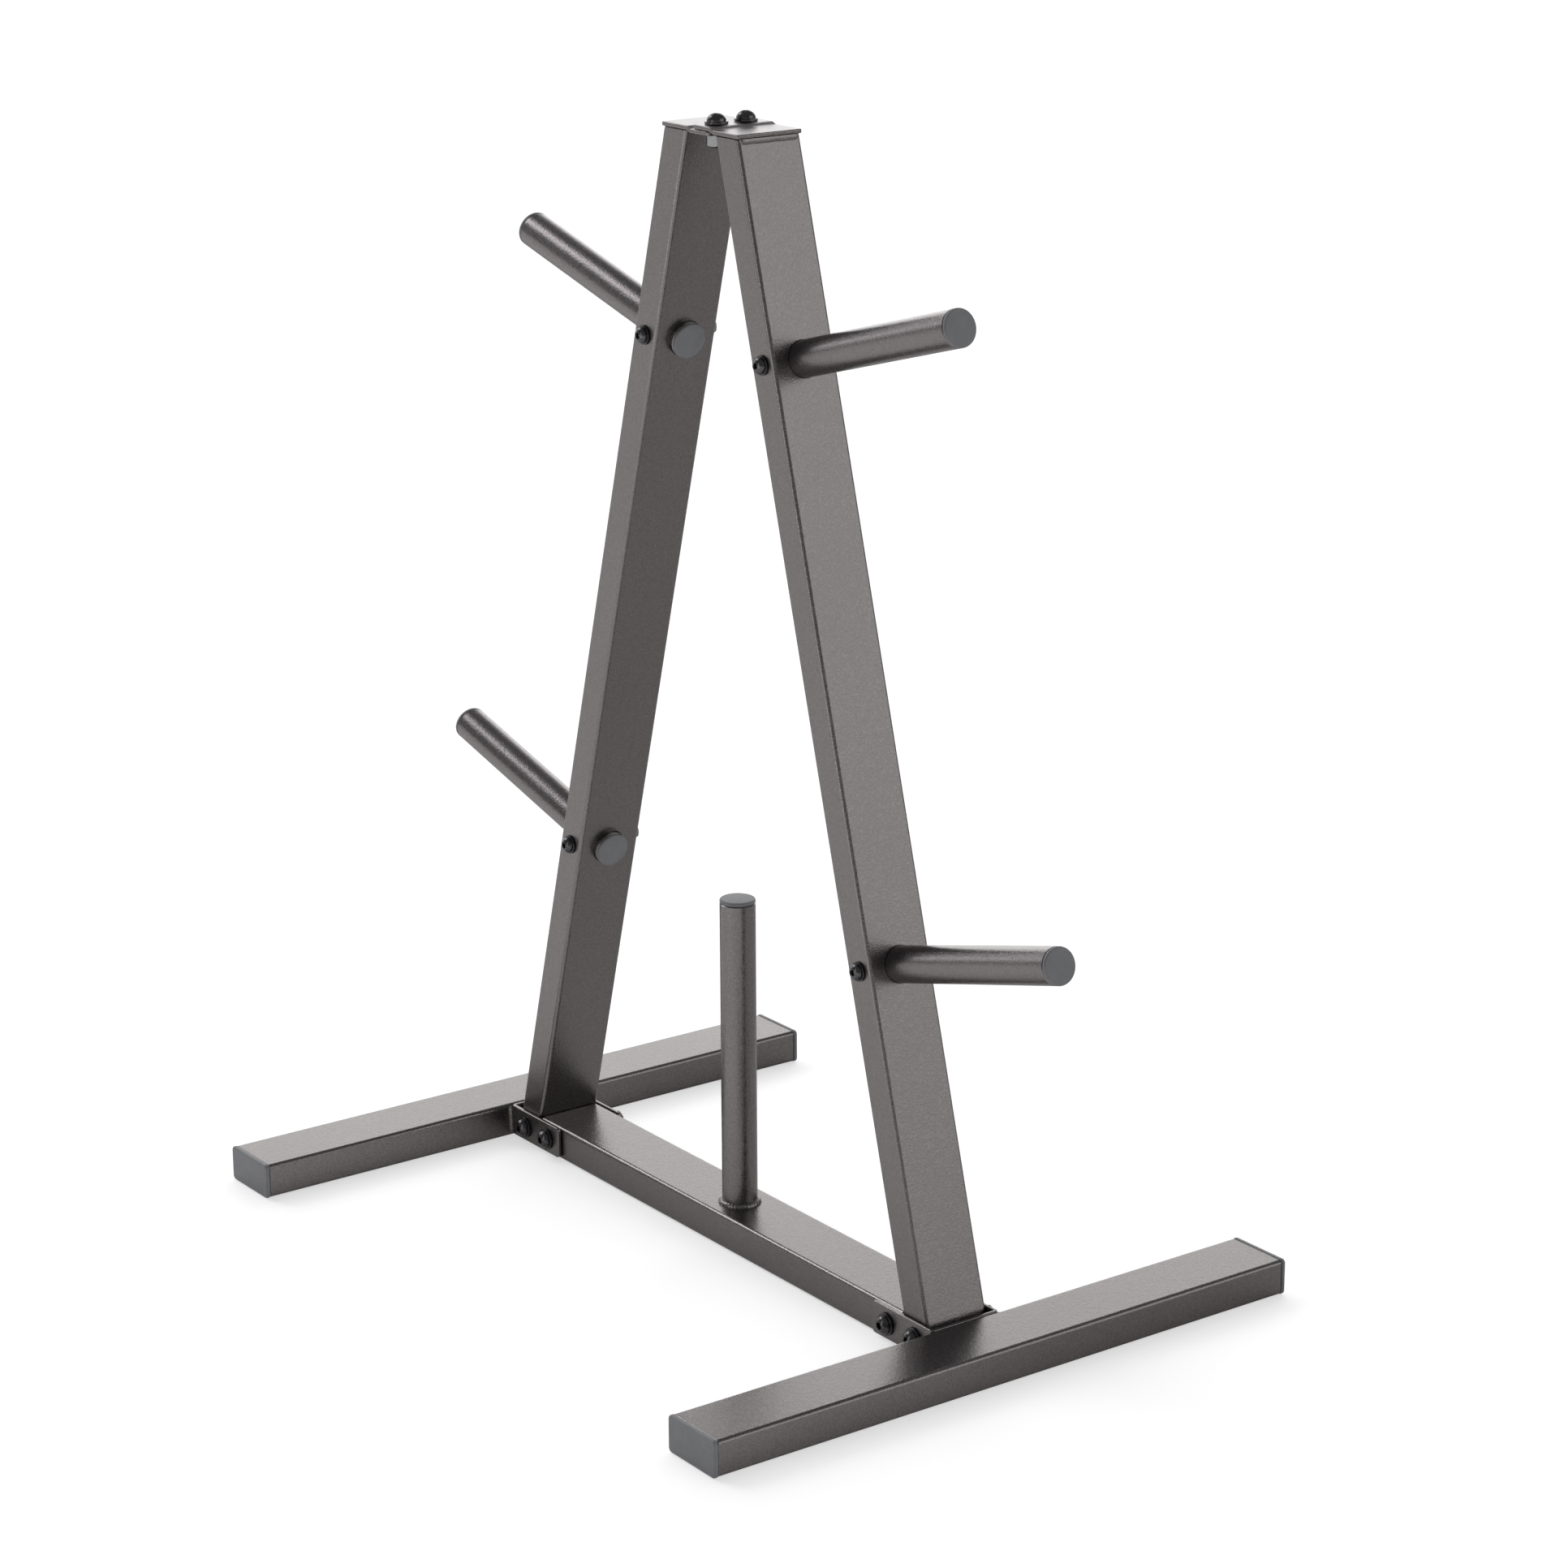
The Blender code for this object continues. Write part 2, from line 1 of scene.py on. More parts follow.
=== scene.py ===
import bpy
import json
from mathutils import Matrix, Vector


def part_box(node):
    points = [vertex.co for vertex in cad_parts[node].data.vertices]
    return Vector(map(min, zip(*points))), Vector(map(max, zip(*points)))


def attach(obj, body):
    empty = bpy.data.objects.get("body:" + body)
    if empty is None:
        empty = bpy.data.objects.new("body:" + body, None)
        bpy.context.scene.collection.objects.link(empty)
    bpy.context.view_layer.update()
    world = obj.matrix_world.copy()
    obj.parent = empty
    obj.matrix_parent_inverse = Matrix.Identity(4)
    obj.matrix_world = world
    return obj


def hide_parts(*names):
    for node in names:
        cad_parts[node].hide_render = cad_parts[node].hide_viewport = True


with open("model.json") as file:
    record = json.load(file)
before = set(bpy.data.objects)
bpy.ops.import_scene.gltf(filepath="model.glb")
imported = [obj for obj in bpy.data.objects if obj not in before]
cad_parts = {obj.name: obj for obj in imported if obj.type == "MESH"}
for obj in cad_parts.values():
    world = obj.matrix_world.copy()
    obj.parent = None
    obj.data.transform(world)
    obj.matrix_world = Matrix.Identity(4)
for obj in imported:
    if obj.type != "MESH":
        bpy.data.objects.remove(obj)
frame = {"nodes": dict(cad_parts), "record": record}

"""The looks of a weight plate tree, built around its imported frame.

Metres, +Z up; +X runs along the cross tube to the right foot and +Y to the rear. Each CAD node is replaced
by a finer piece in the same place: softened tubes, bent sheet, turned caps, bolts with hex sockets and
threads, chamfered nuts. Weld beads are added where the CAD solids only meet.
"""
import json
from math import asin, cos, pi, radians, sin, sqrt, tan

import bmesh
import bpy
from mathutils import Matrix, Vector, noise

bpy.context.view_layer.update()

# ---------------------------------------------------------------- shared dimensions

SIDES = {"left": -1, "right": 1}
MOUNTS = {m["name"]: m for m in frame["record"]["mounts"]}

CLEARANCE = 0.0003          # between pieces that touch, as in the frame

TUBE_WALL = 0.0018
TUBE_CORNER = 0.0028
TUBE_LIP = 0.0005           # softened end edges
CORNER_STEPS = 7

SHEET = 0.003
SHEET_EDGE = 0.0009         # softened sheared edges
EDGE_STEPS = 4
MERGE = 0.00003             # closest two rings of a swept sheet
BRACKET_BEND = 0.0036
BRACKET_CORNER = 0.0030
PLATE_CORNER = 0.0035       # the tongue's plan corners
PLATE_LIP_CORNER = 0.0012   # the lip's, over the leg
JOGGLE_OUT = 0.0162         # where the step to the tongue starts and ends
JOGGLE_IN = 0.0100
JOGGLE_STEPS = 12

CAP_GROOVE = 0.0005         # chamfer of a cap's flange beside its tube
CAP_EDGE = 0.0013           # rounded rim of a cap's face
CAP_CROWN = 0.00025         # rise of a round cap's face in its middle
CAP_WALL = 0.0016
CAP_RIB = 0.0005            # height of the ribs around a round plug
CAP_TIP = 0.0004            # small flat that closes a round cap on its axis
CAP_STEPS = 6

POST_RADIUS = 0.0127
POST_WALL = 0.0016
ROUND = 72                  # facets around posts and caps
SMALL_ROUND = 48            # facets around fasteners; a multiple of 6

HEAD_M8 = {"head": 0.0066, "height": 0.0050, "socket": 0.0050, "shank": 0.0040,
           "pitch": 0.00125, "washer": 0.0080, "across": 0.0130}
HEAD_M6 = {"head": 0.0058, "height": 0.0042, "socket": 0.0040, "shank": 0.0030,
           "pitch": 0.0010, "washer": 0.0068, "across": 0.0100}
BOLT_RIM = 0.0006           # straight side under a button head's dome
DOME_STEPS = 14
SOCKET_DEPTH = 0.6          # of the head's height
THREADS = 7                 # turns of thread at a bolt's end
SPIN = 0.7                  # turn from one fastener to the next

DRILL_REACH = 0.06          # cutters go this far each way
POST_DRILL_REACH = 0.25
PLATE_DRILL_REACH = 0.03

WELD_SPACING = 0.0003
WELD_PITCH = 0.0024
WELD_STEPS = 12
RING_STEPS = 260

PAINT_DARK = (0.198, 0.184, 0.182)
PAINT_LIGHT = (0.252, 0.236, 0.236)
# painted shade for the valleys of the paint's ridges
PAINT_VALLEY_SHADE = (0.13, 0.118, 0.114)
PAINT_SHADE = (0.150, 0.135, 0.129)
CAP_DARK = (0.185, 0.190, 0.199)
CAP_LIGHT = (0.220, 0.226, 0.236)
OXIDE_DARK = (0.075, 0.073, 0.076)
OXIDE_LIGHT = (0.125, 0.122, 0.126)
ZINC_DARK = (0.15, 0.16, 0.157)
ZINC_LIGHT = (0.27, 0.282, 0.278)


# ---------------------------------------------------------------- nodes of the materials

def new_material(name):
    """A Principled material, its shader and a helper that adds nodes to it."""
    material = bpy.data.materials.new(name)
    material.use_nodes = True
    tree = material.node_tree
    shader = tree.nodes["Principled BSDF"]

    def add(kind, **settings):
        node = tree.nodes.new(kind)
        for key, value in settings.items():
            if key in node.inputs:
                node.inputs[key].default_value = value
            else:
                setattr(node, key, value)
        return node

    return material, shader, add, tree.links.new


def noise_field(add, link, place, scale, detail=2.0, roughness=0.5, distortion=0.0):
    node = add("ShaderNodeTexNoise", Scale=scale, Detail=detail, Roughness=roughness, Distortion=distortion)
    link(place, node.inputs["Vector"])
    return node.outputs["Fac"]


def remap(add, link, value, low, high, to_low, to_high):
    node = add("ShaderNodeMapRange")
    node.inputs["From Min"].default_value = low
    node.inputs["From Max"].default_value = high
    node.inputs["To Min"].default_value = to_low
    node.inputs["To Max"].default_value = to_high
    link(value, node.inputs["Value"])
    return node.outputs["Result"]


def blend_colors(add, link, factor, first, second):
    """Mixes two colours; either may be a socket or an RGB triple."""
    node = add("ShaderNodeMix", data_type="RGBA")
    link(factor, node.inputs[0])
    for socket, color in ((node.inputs[6], first), (node.inputs[7], second)):
        if isinstance(color, tuple):
            socket.default_value = (*color, 1.0)
        else:
            link(color, socket)
    return node.outputs[2]


def bump(add, link, height, distance, strength=1.0, normal=None):
    node = add("ShaderNodeBump", Strength=strength, Distance=distance)
    link(height, node.inputs["Height"])
    if normal is not None:
        link(normal, node.inputs["Normal"])
    return node.outputs["Normal"]


def hammertone_paint():
    """Warm dark grey hammered paint: metallic, semi-gloss, all over soft winding ridges, with painted shade
    in the ridges' valleys.
    """
    material, shader, add, link = new_material("hammertone_paint")
    place = add("ShaderNodeTexCoord").outputs["Object"]
    swell = noise_field(add, link, place, 380.0, 1.0, 0.5, 0.5)
    phase = add("ShaderNodeMath", operation="MULTIPLY")
    phase.inputs[1].default_value = 22.0
    link(swell, phase.inputs[0])
    wave = add("ShaderNodeMath", operation="SINE")
    link(phase.outputs[0], wave.inputs[0])
    worms = remap(add, link, wave.outputs[0], -1.0, 1.0, 0.0, 1.0)
    fine = noise_field(add, link, place, 1500.0, 2.0, 0.5)
    broad = noise_field(add, link, place, 11.0, 3.0, 0.5)

    flecks = remap(add, link, fine, 0.35, 0.65, 0.0, 1.0)
    speckled = blend_colors(add, link, flecks, PAINT_DARK, PAINT_LIGHT)
    # painted shade: the base colour darkens where the ridge relief dips
    valley_shade = remap(add, link, worms, 0.0, 0.9, 0.30, 0.0)
    valley_shaded = blend_colors(add, link, valley_shade, speckled, PAINT_VALLEY_SHADE)
    shade = remap(add, link, broad, 0.3, 0.7, 0.0, 0.10)
    link(blend_colors(add, link, shade, valley_shaded, PAINT_SHADE), shader.inputs["Base Color"])

    link(remap(add, link, fine, 0.3, 0.7, 0.25, 0.33), shader.inputs["Roughness"])
    relief = bump(add, link, worms, 0.000038, 1.0)
    link(bump(add, link, fine, 0.00002, 1.0, relief), shader.inputs["Normal"])
    shader.inputs["Metallic"].default_value = 1.0
    return material


def cap_plastic():
    """Moulded grey polyethylene: satin, with a fine spark-eroded grain and faint flow marks."""
    material, shader, add, link = new_material("cap_plastic")
    place = add("ShaderNodeTexCoord").outputs["Object"]
    grain = noise_field(add, link, place, 2600.0, 2.0, 0.5)
    flow = noise_field(add, link, place, 60.0, 4.0, 0.6, 0.8)
    tone = remap(add, link, flow, 0.3, 0.7, 0.0, 1.0)
    link(blend_colors(add, link, tone, CAP_DARK, CAP_LIGHT), shader.inputs["Base Color"])
    link(remap(add, link, grain, 0.3, 0.7, 0.44, 0.58), shader.inputs["Roughness"])
    link(bump(add, link, grain, 0.00003, 0.5), shader.inputs["Normal"])
    return material


def black_oxide():
    """Oiled black steel: near black, glossy, with a faint uneven film."""
    material, shader, add, link = new_material("black_oxide")
    place = add("ShaderNodeTexCoord").outputs["Object"]
    film = noise_field(add, link, place, 420.0, 4.0, 0.65)
    pits = noise_field(add, link, place, 2200.0, 3.0, 0.6)
    tone = remap(add, link, film, 0.35, 0.7, 0.0, 1.0)
    link(blend_colors(add, link, tone, OXIDE_DARK, OXIDE_LIGHT), shader.inputs["Base Color"])
    link(remap(add, link, film, 0.3, 0.7, 0.18, 0.28), shader.inputs["Roughness"])
    link(bump(add, link, pits, 0.00002, 0.5), shader.inputs["Normal"])
    shader.inputs["Metallic"].default_value = 0.95
    return material


def zinc_plate():
    """Dulled zinc: grey metal with a clouded grain."""
    material, shader, add, link = new_material("zinc_plate")
    place = add("ShaderNodeTexCoord").outputs["Object"]
    cloud = noise_field(add, link, place, 260.0, 5.0, 0.6, 0.4)
    grain = noise_field(add, link, place, 1800.0, 2.0, 0.5)
    tone = remap(add, link, cloud, 0.3, 0.7, 0.0, 1.0)
    link(blend_colors(add, link, tone, ZINC_DARK, ZINC_LIGHT), shader.inputs["Base Color"])
    link(remap(add, link, cloud, 0.3, 0.7, 0.24, 0.42), shader.inputs["Roughness"])
    link(bump(add, link, grain, 0.00002, 0.5), shader.inputs["Normal"])
    shader.inputs["Metallic"].default_value = 0.9
    return material


FINISHES = {"hammertone_steel": hammertone_paint(), "cap_plastic": cap_plastic(),
            "black_oxide": black_oxide(), "zinc": zinc_plate()}


# ---------------------------------------------------------------- reading the frame

def corners(node):
    low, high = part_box(node)
    return Vector(low), Vector(high)


def facing(point, direction):
    """A frame at a point with its Z axis along a direction."""
    turn = Vector((0, 0, 1)).rotation_difference(Vector(direction)).to_matrix().to_4x4()
    return Matrix.Translation(point) @ turn


def span_along(node, point, axis):
    """How far a node reaches along an axis from a point: lowest and highest."""
    obj = frame["nodes"][node]
    reach = [(obj.matrix_world @ v.co - point).dot(axis) for v in obj.data.vertices]
    return min(reach), max(reach)


def post_line(level, side):
    """The end face's middle and the outward axis of a side post."""
    mount = MOUNTS["post_end_" + level + "_" + side]
    return Vector(mount["pos_m"]), Vector(mount["axis"])


# ---------------------------------------------------------------- mesh building

def rounded_rect(width, height, radius, steps=CORNER_STEPS):
    """Points around a rectangle with round corners, counter-clockwise."""
    points = []
    for quarter, (sx, sy) in enumerate(((1, 1), (-1, 1), (-1, -1), (1, -1))):
        for i in range(steps + 1):
            a = (quarter + i / steps) * pi / 2
            x = sx * (width / 2 - radius) + radius * cos(a)
            y = sy * (height / 2 - radius) + radius * sin(a)
            points.append((x, y))
    return points


def circle(radius, count=ROUND):
    return [(radius * cos(2 * pi * i / count), radius * sin(2 * pi * i / count)) for i in range(count)]


def hexagon(across, count=SMALL_ROUND, limit=None):
    """A hexagon's outline sampled at equal angles, cut back to a circle of radius limit."""
    points = []
    for i in range(count):
        a = 2 * pi * i / count
        r = across / 2 / cos((a + pi / 6) % (pi / 3) - pi / 6)
        r = min(r, limit) if limit else r
        points.append((r * cos(a), r * sin(a)))
    return points


def at_height(outline, z):
    return [Vector((x, y, z)) for x, y in outline]


def lofted(rings, loop=False):
    """Joins rings of equal length. A loop closes on its first ring; otherwise both ends are capped."""
    bm = bmesh.new()
    loops = [[bm.verts.new(p) for p in ring] for ring in rings]
    pairs = list(zip(loops, loops[1:]))
    if loop:
        pairs.append((loops[-1], loops[0]))
    for a, b in pairs:
        for i in range(len(a)):
            j = (i + 1) % len(a)
            bm.faces.new((a[i], a[j], b[j], b[i]))
    if not loop:
        bm.faces.new(list(reversed(loops[0])))
        bm.faces.new(loops[-1])
    return bm


def turned(profile, count=ROUND, loop=False):
    """A turned body from (radius, height) points; without a loop its ends are capped."""
    return lofted([at_height(circle(r, count), z) for r, z in profile], loop)


def rim_profile(height):
    """(inset, height) points around a cap's rounded rim, from its side up to its face."""
    turns = [i * pi / 2 / CAP_STEPS for i in range(CAP_STEPS + 1)]
    return [(CAP_EDGE * (1 - cos(a)), height - CAP_EDGE * (1 - sin(a))) for a in turns]


def rod(radius, place, reach, count=SMALL_ROUND):
    """A cutter: a cylinder along a frame's Z axis, reaching both ways."""
    bm = turned([(radius, -reach), (radius, reach)], count)
    bm.transform(place)
    return bm


def to_object(name, bm):
    bmesh.ops.recalc_face_normals(bm, faces=bm.faces)
    mesh = bpy.data.meshes.new(name)
    bm.to_mesh(mesh)
    bm.free()
    obj = bpy.data.objects.new(name, mesh)
    bpy.context.scene.collection.objects.link(obj)
    return obj


def bake(obj):
    """Applies the object's modifiers to its mesh."""
    bpy.context.view_layer.update()
    seen = obj.evaluated_get(bpy.context.evaluated_depsgraph_get())
    mesh = bpy.data.meshes.new_from_object(seen)
    mesh.name = obj.name
    obj.modifiers.clear()
    obj.data = mesh


def cut(obj, tools):
    """Cuts closed bodies out of an object."""
    made = []
    for tool in tools:
        body = to_object("tool", tool)
        made.append(body)
        modifier = obj.modifiers.new("cut", "BOOLEAN")
        modifier.operation = "DIFFERENCE"
        modifier.object = body
        modifier.solver = "EXACT"
    bake(obj)
    for body in made:
        bpy.data.objects.remove(body, do_unlink=True)


def finish_piece(obj, slot, nodes=(), sharp=32):
    """Gives a piece its material, parents it to the root body and hides the nodes it replaces. Flat faces
    keep flat shading beside round ones.
    """
    mesh = obj.data
    mesh.materials.clear()
    mesh.materials.append(FINISHES[slot])
    mesh.shade_smooth()
    mesh.set_sharp_from_angle(angle=radians(sharp))
    weighted = obj.modifiers.new("weighted_normals", "WEIGHTED_NORMAL")
    weighted.keep_sharp = True
    weighted.weight = 100
    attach(obj, "root")
    if nodes:
        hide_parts(*nodes)


# ---------------------------------------------------------------- rectangular tubes

def tube_body(width, height, low, high):
    """A rectangular tube along Z with softened ends, as one closed body."""
    def outer(inset):
        return rounded_rect(width - 2 * inset, height - 2 * inset, TUBE_CORNER - inset)
    inner = rounded_rect(width - 2 * TUBE_WALL, height - 2 * TUBE_WALL, TUBE_CORNER - TUBE_WALL)
    rings = [(outer(TUBE_LIP), low), (outer(0), low + TUBE_LIP), (outer(0), high - TUBE_LIP),
             (outer(TUBE_LIP), high), (inner, high), (inner, low)]
    return lofted([at_height(outline, z) for outline, z in rings], loop=True)


def make_foot(side):
    node = "foot_tube_" + side
    low, high = corners(node)
    size, middle = high - low, (low + high) / 2
    bm = tube_body(size.x, size.z, -size.y / 2, size.y / 2)
    bm.transform(Matrix.Translation(middle) @ Matrix.Rotation(-pi / 2, 4, "X"))
    finish_piece(to_object(node + "_look", bm), "hammertone_steel", [node])


def cross_bolt_tools(nodes, radius):
    """Cutters along Y through the middles of the named bolts."""
    tools = []
    for node in nodes:
        low, high = corners(node)
        tools.append(rod(radius + CLEARANCE, facing((low + high) / 2, (0, 1, 0)), DRILL_REACH))
    return tools


def make_cross_tube():
    node = "cross_tube"
    low, high = corners(node)
    size, middle = high - low, (low + high) / 2
    bm = tube_body(size.z, size.y, -size.x / 2, size.x / 2)
    bm.transform(Matrix.Translation(middle) @ Matrix.Rotation(pi / 2, 4, "Y"))
    tube = to_object(node + "_look", bm)
    cut(tube, cross_bolt_tools(["bracket_bolt_cross_" + side for side in SIDES], HEAD_M8["shank"]))
    finish_piece(tube, "hammertone_steel", [node])


def make_leg(side, sign):
    """A tube sheared to the leg's slope so that its ends stay level, drilled for posts and bolts."""
    node = "leg_" + side
    low, high = corners(node)
    _, axis = post_line("upper", side)
    slope = axis.z / abs(axis.x)
    height = high.z - low.z
    depth = (high.x - low.x) - slope * height
    bm = tube_body(depth, high.y - low.y, 0, height)
    lean = Matrix.Identity(4)
    lean[0][2] = -sign * slope
    foot_x = (high.x if sign > 0 else low.x) - sign * depth / 2
    bm.transform(Matrix.Translation((foot_x, 0, low.z)) @ lean)
    leg = to_object(node + "_look", bm)
    tools = cross_bolt_tools(["bracket_bolt_leg_" + side], HEAD_M8["shank"])
    for level in ("upper", "lower"):
        point, axis = post_line(level, side)
        tools.append(rod(POST_RADIUS + CLEARANCE, facing(point, axis), POST_DRILL_REACH, ROUND))
        tools += cross_bolt_tools(["post_bolt_" + level + "_" + side], HEAD_M6["shank"])
    cut(leg, tools)
    finish_piece(leg, "hammertone_steel", [node])


# ---------------------------------------------------------------- sheet pieces

def swept_sheet(path, across, width, corners_at):
    """Sheet swept along a path of (point, normal), with round edges.

    across is the width's direction; corners_at gives the plan corner radius at the path's start and end.
    """
    runs = [0.0]
    for (a, _), (b, _) in zip(path, path[1:]):
        runs.append(runs[-1] + (b - a).length)
    total = runs[-1]

    def place_at(run):
        k = max(i for i in range(len(path) - 1) if runs[i] <= run + 1e-9)
        t = (run - runs[k]) / (runs[k + 1] - runs[k])
        return path[k][0].lerp(path[k + 1][0], t), path[k][1].lerp(path[k + 1][1], t).normalized()

    stations = set(runs)
    for radius, flip in ((corners_at[0], False), (corners_at[1], True)):
        near = [SHEET_EDGE * (1 - cos(i * pi / 8)) for i in range(5)]
        near += [radius * (1 - cos(i * pi / 16)) for i in range(9)]
        stations |= {total - d if flip else d for d in near}
    ordered = []
    for run in sorted(stations):
        if not ordered or run - ordered[-1] > MERGE:
            ordered.append(run)
    ordered[-1] = total

    rings = []
    for run in ordered:
        end = min(run, total - run)
        radius = corners_at[0] if run < total / 2 else corners_at[1]
        pull = 0.0 if end >= radius else radius - sqrt(radius ** 2 - (radius - end) ** 2)
        inset = 0.0 if end >= SHEET_EDGE else SHEET_EDGE - sqrt(SHEET_EDGE ** 2 - (SHEET_EDGE - end) ** 2)
        outline = rounded_rect(SHEET - 2 * inset, width - 2 * (pull + inset), SHEET_EDGE * 1.02 - inset,
                               EDGE_STEPS)
        point, normal = place_at(run)
        rings.append([point + normal * u + across * v for u, v in outline])
    return lofted(rings)


def make_bracket(side, sign):
    """A U of bent sheet with round bends and rounded free corners, drilled for two bolts."""
    node = "foot_bracket_" + side
    low, high = corners(node)
    web = max(abs(low.x), abs(high.x))
    free = min(abs(low.x), abs(high.x))
    middle_z = (low.z + high.z) / 2
    middle = BRACKET_BEND - SHEET / 2
    cx, cy = web - BRACKET_BEND, high.y - BRACKET_BEND
    turns = [i * pi / 2 / CORNER_STEPS for i in range(CORNER_STEPS + 1)]
    bend = [(Vector((cx + middle * sin(a), cy + middle * cos(a), 0)), Vector((sin(a), cos(a), 0)))
            for a in turns]
    half = [(Vector((free, cy + middle, 0)), Vector((0, 1, 0)))] + bend
    mirrored = [(Vector((p.x, -p.y, 0)), Vector((n.x, -n.y, 0))) for p, n in reversed(half)]
    path = [(Vector((sign * p.x, p.y, middle_z)), Vector((sign * n.x, n.y, 0))) for p, n in half + mirrored]
    bm = swept_sheet(path, Vector((0, 0, 1)), high.z - low.z, (BRACKET_CORNER, BRACKET_CORNER))
    bracket = to_object(node + "_look", bm)
    bolts = ["bracket_bolt_cross_" + side, "bracket_bolt_leg_" + side]
    cut(bracket, cross_bolt_tools(bolts, HEAD_M8["shank"]))
    finish_piece(bracket, "hammertone_steel", [node])


def make_top_plate(side, sign):
    """A joggled strip: level over its leg, then a step to the tongue that laps the other plate."""
    node = "top_plate_" + side
    low, high = corners(node)
    top = MOUNTS["frame_top"]["pos_m"][2]
    step = high.z - top if sign > 0 else low.z + SHEET - top
    outer = max(abs(low.x), abs(high.x))
    tongue = -min(sign * low.x, sign * high.x)
    middle = top - SHEET / 2
    points = [(outer, middle)]
    for i in range(JOGGLE_STEPS + 1):
        t = i / JOGGLE_STEPS
        points.append((JOGGLE_OUT + (JOGGLE_IN - JOGGLE_OUT) * t, middle + step * (1 - cos(pi * t)) / 2))
    points.append((-tongue, middle + step))
    path = []
    for i, (x, z) in enumerate(points):
        before, after = points[max(i - 1, 0)], points[min(i + 1, len(points) - 1)]
        along = Vector((after[0] - before[0], 0, after[1] - before[1])).normalized()
        path.append((Vector((sign * x, 0, z)), Vector((-sign * along.z, 0, along.x)) * -1))
    bm = swept_sheet(path, Vector((0, 1, 0)), high.y - low.y, (PLATE_LIP_CORNER, PLATE_CORNER))
    plate = to_object(node + "_look", bm)
    tools = []
    for label in ("front", "rear"):
        bolt_low, bolt_high = corners("top_bolt_" + label)
        place = facing((bolt_low + bolt_high) / 2, (0, 0, 1))
        tools.append(rod(HEAD_M8["shank"] + CLEARANCE, place, PLATE_DRILL_REACH))
    cut(plate, tools)
    finish_piece(plate, "hammertone_steel", [node])


# ---------------------------------------------------------------- posts and caps

def post_tube(low, high):
    """A round tube along Z with softened ends, as one closed body."""
    inner = POST_RADIUS - POST_WALL
    profile = [(POST_RADIUS - TUBE_LIP, low), (POST_RADIUS, low + TUBE_LIP), (POST_RADIUS, high - TUBE_LIP),
               (POST_RADIUS - TUBE_LIP, high), (inner, high), (inner, low)]
    return turned(profile, loop=True)


def cap_body(rise, depth):
    """A round plastic cap: a flange with a rounded rim and slightly crowned face, and a ribbed plug below."""
    rim = [(POST_RADIUS - inset, z) for inset, z in rim_profile(rise - CAP_CROWN)]
    face_r = rim[-1][0]
    face = []
    for i in range(1, CAP_STEPS):
        share = 1 - i / CAP_STEPS
        face.append((face_r * share, rise - CAP_CROWN * share ** 2))
    plug = POST_RADIUS - POST_WALL - CLEARANCE
    core = plug - CAP_RIB
    ribs = []
    for i in range(3):
        z = -(i + 0.6) * (depth / 3.4)
        ribs += [(core, z + 0.0008), (plug, z), (core, z - 0.0008)]
    inside = plug - CAP_WALL
    bottom = [(core, -depth), (inside, -depth), (inside, 0.0002), (CAP_TIP, 0.0002)]
    profile = [(CAP_TIP, rise)] + list(reversed(face)) + list(reversed(rim))
    profile += [(POST_RADIUS, CAP_GROOVE), (POST_RADIUS - CAP_GROOVE, 0), (core, 0)] + ribs + bottom
    return turned(profile)


def make_side_post(level, side):
    label = level + "_" + side
    point, axis = post_line(level, side)
    place = facing(point, axis)
    low, high = span_along("post_" + label, point, axis)
    bm = post_tube(low, high)
    bm.transform(place)
    post = to_object("post_" + label + "_look", bm)
    cut(post, cross_bolt_tools(["post_bolt_" + label], HEAD_M6["shank"]))
    finish_piece(post, "hammertone_steel", ["post_" + label])
    flange = -high - CLEARANCE
    for kind, seat, turn in (("post_cap_", high + CLEARANCE, 0), ("post_inner_cap_", low - CLEARANCE, pi)):
        node = kind + label
        cap_low, cap_high = span_along(node, point, axis)
        cap = cap_body(flange, cap_high - cap_low - flange)
        cap.transform(place @ Matrix.Translation((0, 0, seat)) @ Matrix.Rotation(turn, 4, "X"))
        finish_piece(to_object(node + "_look", cap), "cap_plastic", [node])


def make_center_post():
    low, high = corners("post_center")
    bm = post_tube(low.z, high.z)
    finish_piece(to_object("post_center_look", bm), "hammertone_steel", ["post_center"])
    cap_low, cap_high = corners("post_cap_center")
    seat = high.z + CLEARANCE
    cap = cap_body(cap_high.z - seat, seat - cap_low.z)
    cap.transform(Matrix.Translation((0, 0, seat)))
    finish_piece(to_object("post_cap_center_look", cap), "cap_plastic", ["post_cap_center"])


def make_foot_cap(side, end, toward):
    """A rectangular plastic cap: a pillowed flange over the tube's end and a hollow plug inside it."""
    node = "foot_cap_" + side + "_" + end
    low, high = corners(node)
    size = high - low
    tube_low, tube_high = corners("foot_tube_" + side)
    flange = high.y - tube_high.y - CLEARANCE if toward > 0 else tube_low.y - low.y - CLEARANCE
    radius = TUBE_CORNER + 0.0004

    def ring(inset, y):
        corner = max(radius - inset, 0.0006)
        return at_height(rounded_rect(size.x - 2 * inset, size.z - 2 * inset, corner), y)

    rim = [ring(inset, y) for inset, y in rim_profile(flange)]
    plug = (size.x - (tube_high.x - tube_low.x)) / 2 + TUBE_WALL + CLEARANCE
    inside = plug + TUBE_WALL
    depth = size.y - flange
    lower = ((0, CAP_GROOVE), (CAP_GROOVE, 0), (plug, 0), (plug, -depth), (inside, -depth), (inside, -0.0008))
    bm = lofted(list(reversed(rim)) + [ring(inset, y) for inset, y in lower])
    face_y = tube_high.y + CLEARANCE if toward > 0 else tube_low.y - CLEARANCE
    # The cap's own height axis is turned to point out of the tube
    turn = Matrix.Rotation(-toward * pi / 2, 4, "X")
    bm.transform(Matrix.Translation(((low.x + high.x) / 2, face_y, (low.z + high.z) / 2)) @ turn)
    finish_piece(to_object(node + "_look", bm), "cap_plastic", [node])


# ---------------------------------------------------------------- fasteners

